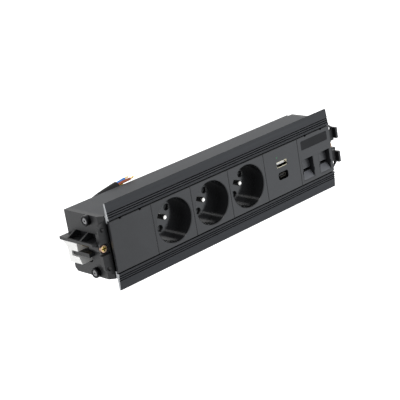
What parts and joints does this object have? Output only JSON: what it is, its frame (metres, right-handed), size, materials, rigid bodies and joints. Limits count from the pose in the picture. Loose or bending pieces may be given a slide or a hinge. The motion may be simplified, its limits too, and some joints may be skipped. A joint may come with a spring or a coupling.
{
  "type": "in-desk power module",
  "caption": "Power module that drops into a desk cut-out, with earthed mains sockets, a charger with two outlets, a blank plate, a data plate and a screw clamp at each end.",
  "frame": {"origin": "middle of the module, in the plane where the side flanges rest on the desk", "axes": "+X along the channel from the blank plate to the data plate, +Z out of the desk towards the user, +Y completes the right-handed frame"},
  "size_m": [0.299, 0.0766, 0.0643],
  "materials": {
    "anodised_aluminium": "black anodised, satin",
    "graphite_plastic": "fine matt texture",
    "inner_plastic": "matt",
    "grey_plastic": "matt",
    "white_nylon": "satin",
    "white_plastic": "satin",
    "clear_label": "smooth",
    "brass_plate": "plated",
    "copper": "bare",
    "nickel": "bright plated",
    "steel": "bright",
    "black_steel": "black oxide",
    "board_green": "lacquered",
    "black_sheath": "matt",
    "brown_core": "satin",
    "blue_core": "satin",
    "earth_core": "satin, green and yellow"
  },
  "bodies": {
    "module": {"bar_tray": "inner_plastic", "bare_strands": "copper", "blank_plate": "graphite_plastic", "cable_cowl": "graphite_plastic", "cable_sheath": "black_sheath", "cap_screw_left_first": "black_steel", "cap_screw_left_second": "black_steel", "cap_screw_right_first": "black_steel", "cap_screw_right_second": "black_steel", "channel": "anodised_aluminium", "charger_board": "board_green", "charger_capacitor": "black_sheath", "charger_feed_tabs": "brass_plate", "charger_front": "graphite_plastic", "charger_housing": "inner_plastic", "charger_transformer": "inner_plastic", "core_blue": "blue_core", "core_brown": "brown_core", "core_earth": "earth_core", "cowl_screws": "steel", "data_insert_1": "graphite_plastic", "data_insert_2": "graphite_plastic", "data_plate": "graphite_plastic", "earth_bar": "copper", "earth_pin_1": "nickel", "earth_pin_2": "nickel", "earth_pin_3": "nickel", "end_cap_left": "graphite_plastic", "end_cap_right": "graphite_plastic", "flat_outlet_shell": "steel", "flat_outlet_tongue": "white_plastic", "label_window": "clear_label", "light_guide": "white_plastic", "live_bar": "copper", "live_contact_1": "brass_plate", "live_contact_2": "brass_plate", "live_contact_3": "brass_plate", "neutral_bar": "copper", "neutral_contact_1": "brass_plate", "neutral_contact_2": "brass_plate", "neutral_contact_3": "brass_plate", "oval_outlet_shell": "steel", "oval_outlet_tongue": "inner_plastic", "screw_collar_left": "inner_plastic", "screw_collar_right": "inner_plastic", "socket_base_1": "inner_plastic", "socket_base_2": "inner_plastic", "socket_base_3": "inner_plastic", "socket_front_1": "graphite_plastic", "socket_front_2": "graphite_plastic", "socket_front_3": "graphite_plastic", "terminal_block": "grey_plastic", "terminal_screws": "steel"},
    "clamp_screw_left": {"clamp_screw_left": "brass_plate"},
    "clamp_screw_right": {"clamp_screw_right": "brass_plate"},
    "claw_left": {"clamp_claw_left": "white_nylon"},
    "claw_right": {"clamp_claw_right": "white_nylon"},
    "shutter_1": {"shutter_1": "grey_plastic"},
    "shutter_2": {"shutter_2": "grey_plastic"},
    "shutter_3": {"shutter_3": "grey_plastic"}
  },
  "joints": [
    {"name": "clamp_screw_left_turn", "type": "hinge", "parent": "module", "child": "clamp_screw_left", "pos_m": [-0.1399, 0, -0.02], "axis": [0, 0, -1], "range_deg": [-4120, 0]},
    {"name": "claw_left_slide", "type": "slide", "parent": "module", "child": "claw_left", "axis": [0, 0, 1], "range_m": [-0.008, 0]},
    {"name": "clamp_screw_right_turn", "type": "hinge", "parent": "module", "child": "clamp_screw_right", "pos_m": [0.1399, 0, -0.02], "axis": [0, 0, -1], "range_deg": [-4120, 0]},
    {"name": "claw_right_slide", "type": "slide", "parent": "module", "child": "claw_right", "axis": [0, 0, 1], "range_m": [-0.008, 0]},
    {"name": "shutter_1_slide", "type": "slide", "parent": "module", "child": "shutter_1", "axis": [0.8387, -0.5446, 0], "range_m": [0, 0.0062], "stiffness_N_per_m": 80, "springref_m": -0.004},
    {"name": "shutter_2_slide", "type": "slide", "parent": "module", "child": "shutter_2", "axis": [0.8387, -0.5446, 0], "range_m": [0, 0.0062], "stiffness_N_per_m": 80, "springref_m": -0.004},
    {"name": "shutter_3_slide", "type": "slide", "parent": "module", "child": "shutter_3", "axis": [0.8387, -0.5446, 0], "range_m": [0, 0.0062], "stiffness_N_per_m": 80, "springref_m": -0.004}
  ],
  "couplings": [
    {"joint": "clamp_screw_left_turn", "follows": "claw_left_slide", "rad_per_m": 8976},
    {"joint": "clamp_screw_right_turn", "follows": "claw_right_slide", "rad_per_m": 8976}
  ]
}
